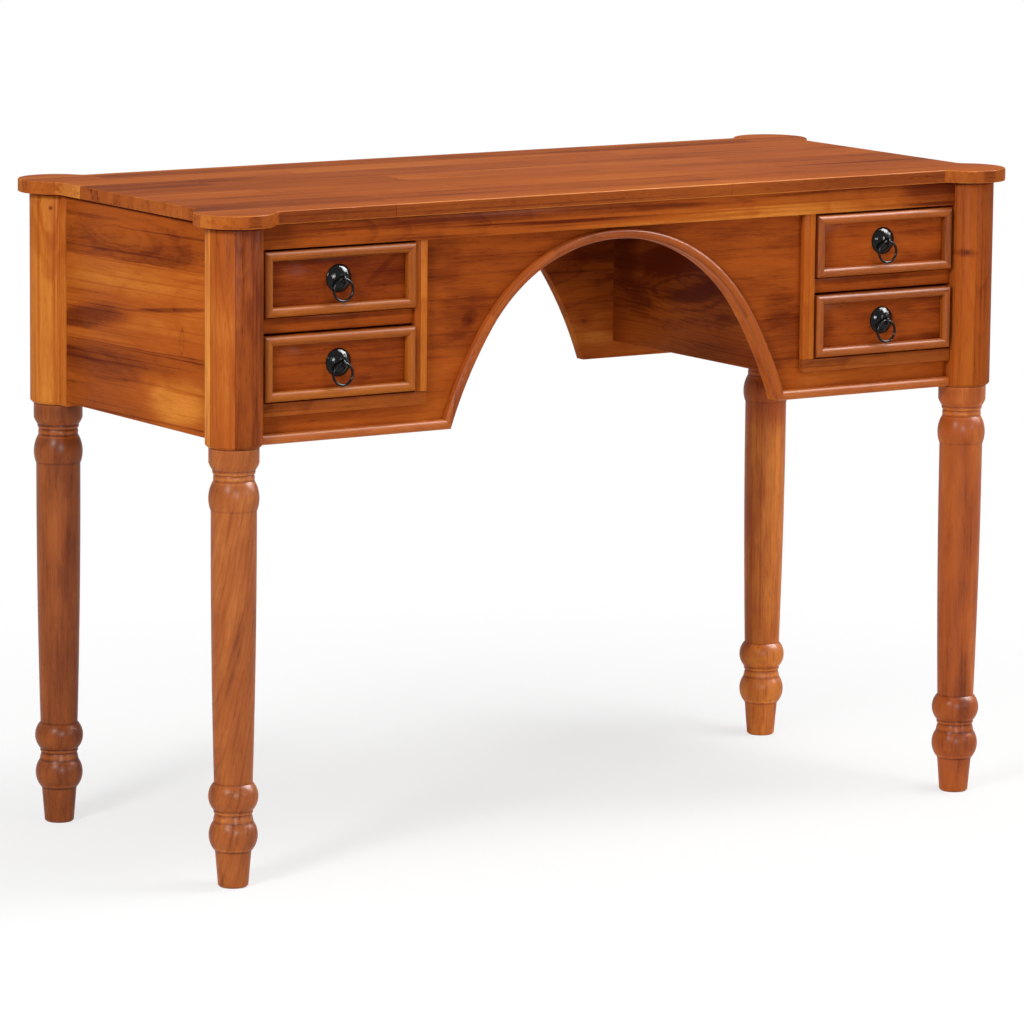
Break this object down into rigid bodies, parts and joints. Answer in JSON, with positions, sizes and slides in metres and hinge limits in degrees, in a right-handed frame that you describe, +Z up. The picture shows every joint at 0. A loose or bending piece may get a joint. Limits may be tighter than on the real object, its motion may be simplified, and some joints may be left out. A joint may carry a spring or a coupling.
{
  "type": "desk with drawers",
  "caption": "Wooden writing desk on turned legs, with drawer pedestals either side of an arched knee-hole, round corner posts and ring pulls.",
  "frame": {"origin": "on the floor, midway between the four legs", "axes": "+X to the right along the desk's length as seen by the sitter, +Y from the drawers to the back, +Z up"},
  "size_m": [1.108, 0.494, 0.76],
  "materials": {
    "top_wood": "satin lacquered boards",
    "post_wood": "satin lacquered",
    "leg_wood": "satin lacquered turning",
    "panel_wood": "satin lacquered staves",
    "rail_wood": "satin lacquered",
    "bead_wood": "satin lacquered",
    "drawer_field_wood": "satin lacquered",
    "moulding_wood": "satin lacquered",
    "inner_wood": "bare planed",
    "black_iron": "black gloss",
    "bolt_steel": "plain"
  },
  "bodies": {
    "frame": {"desk_top": "top_wood", "front_left_post": "post_wood", "front_left_leg": "leg_wood", "front_right_post": "post_wood", "front_right_leg": "leg_wood", "back_left_post": "post_wood", "back_left_leg": "leg_wood", "back_right_post": "post_wood", "back_right_leg": "leg_wood", "leg_bolts": "bolt_steel", "front_panel": "panel_wood", "back_panel": "panel_wood", "top_rail": "rail_wood", "arch_bead": "bead_wood", "drawer_kickers": "inner_wood", "left_end_panel": "panel_wood", "left_knee_panel": "panel_wood", "left_stile": "rail_wood", "left_lower_rail": "rail_wood", "left_drawer_divider": "rail_wood", "left_bottom_bead": "bead_wood", "left_pedestal_bottom": "inner_wood", "left_drawer_runners": "inner_wood", "right_end_panel": "panel_wood", "right_knee_panel": "panel_wood", "right_stile": "rail_wood", "right_lower_rail": "rail_wood", "right_drawer_divider": "rail_wood", "right_bottom_bead": "bead_wood", "right_pedestal_bottom": "inner_wood", "right_drawer_runners": "inner_wood"},
    "lower_left_drawer": {"lower_left_drawer_front": "drawer_field_wood", "lower_left_drawer_moulding": "moulding_wood", "lower_left_drawer_sides": "inner_wood", "lower_left_drawer_back": "inner_wood", "lower_left_drawer_bottom": "inner_wood", "lower_left_drawer_pull": "black_iron"},
    "lower_left_drawer_ring_body": {"lower_left_drawer_ring": "black_iron"},
    "upper_left_drawer": {"upper_left_drawer_front": "drawer_field_wood", "upper_left_drawer_moulding": "moulding_wood", "upper_left_drawer_sides": "inner_wood", "upper_left_drawer_back": "inner_wood", "upper_left_drawer_bottom": "inner_wood", "upper_left_drawer_pull": "black_iron"},
    "upper_left_drawer_ring_body": {"upper_left_drawer_ring": "black_iron"},
    "lower_right_drawer": {"lower_right_drawer_front": "drawer_field_wood", "lower_right_drawer_moulding": "moulding_wood", "lower_right_drawer_sides": "inner_wood", "lower_right_drawer_back": "inner_wood", "lower_right_drawer_bottom": "inner_wood", "lower_right_drawer_pull": "black_iron"},
    "lower_right_drawer_ring_body": {"lower_right_drawer_ring": "black_iron"},
    "upper_right_drawer": {"upper_right_drawer_front": "drawer_field_wood", "upper_right_drawer_moulding": "moulding_wood", "upper_right_drawer_sides": "inner_wood", "upper_right_drawer_back": "inner_wood", "upper_right_drawer_bottom": "inner_wood", "upper_right_drawer_pull": "black_iron"},
    "upper_right_drawer_ring_body": {"upper_right_drawer_ring": "black_iron"}
  },
  "joints": [
    {"name": "lower_left_drawer_slide", "type": "slide", "parent": "frame", "child": "lower_left_drawer", "axis": [0, -1, 0], "range_m": [0, 0.26]},
    {"name": "lower_left_drawer_ring_swing", "type": "hinge", "parent": "lower_left_drawer", "child": "lower_left_drawer_ring_body", "pos_m": [-0.378, -0.22, 0.58525], "axis": [-1, 0, 0], "range_deg": [-5, 170]},
    {"name": "upper_left_drawer_slide", "type": "slide", "parent": "frame", "child": "upper_left_drawer", "axis": [0, -1, 0], "range_m": [0, 0.26]},
    {"name": "upper_left_drawer_ring_swing", "type": "hinge", "parent": "upper_left_drawer", "child": "upper_left_drawer_ring_body", "pos_m": [-0.378, -0.22, 0.67975], "axis": [-1, 0, 0], "range_deg": [-5, 170]},
    {"name": "lower_right_drawer_slide", "type": "slide", "parent": "frame", "child": "lower_right_drawer", "axis": [0, -1, 0], "range_m": [0, 0.26]},
    {"name": "lower_right_drawer_ring_swing", "type": "hinge", "parent": "lower_right_drawer", "child": "lower_right_drawer_ring_body", "pos_m": [0.378, -0.22, 0.58525], "axis": [-1, 0, 0], "range_deg": [-5, 170]},
    {"name": "upper_right_drawer_slide", "type": "slide", "parent": "frame", "child": "upper_right_drawer", "axis": [0, -1, 0], "range_m": [0, 0.26]},
    {"name": "upper_right_drawer_ring_swing", "type": "hinge", "parent": "upper_right_drawer", "child": "upper_right_drawer_ring_body", "pos_m": [0.378, -0.22, 0.67975], "axis": [-1, 0, 0], "range_deg": [-5, 170]}
  ]
}
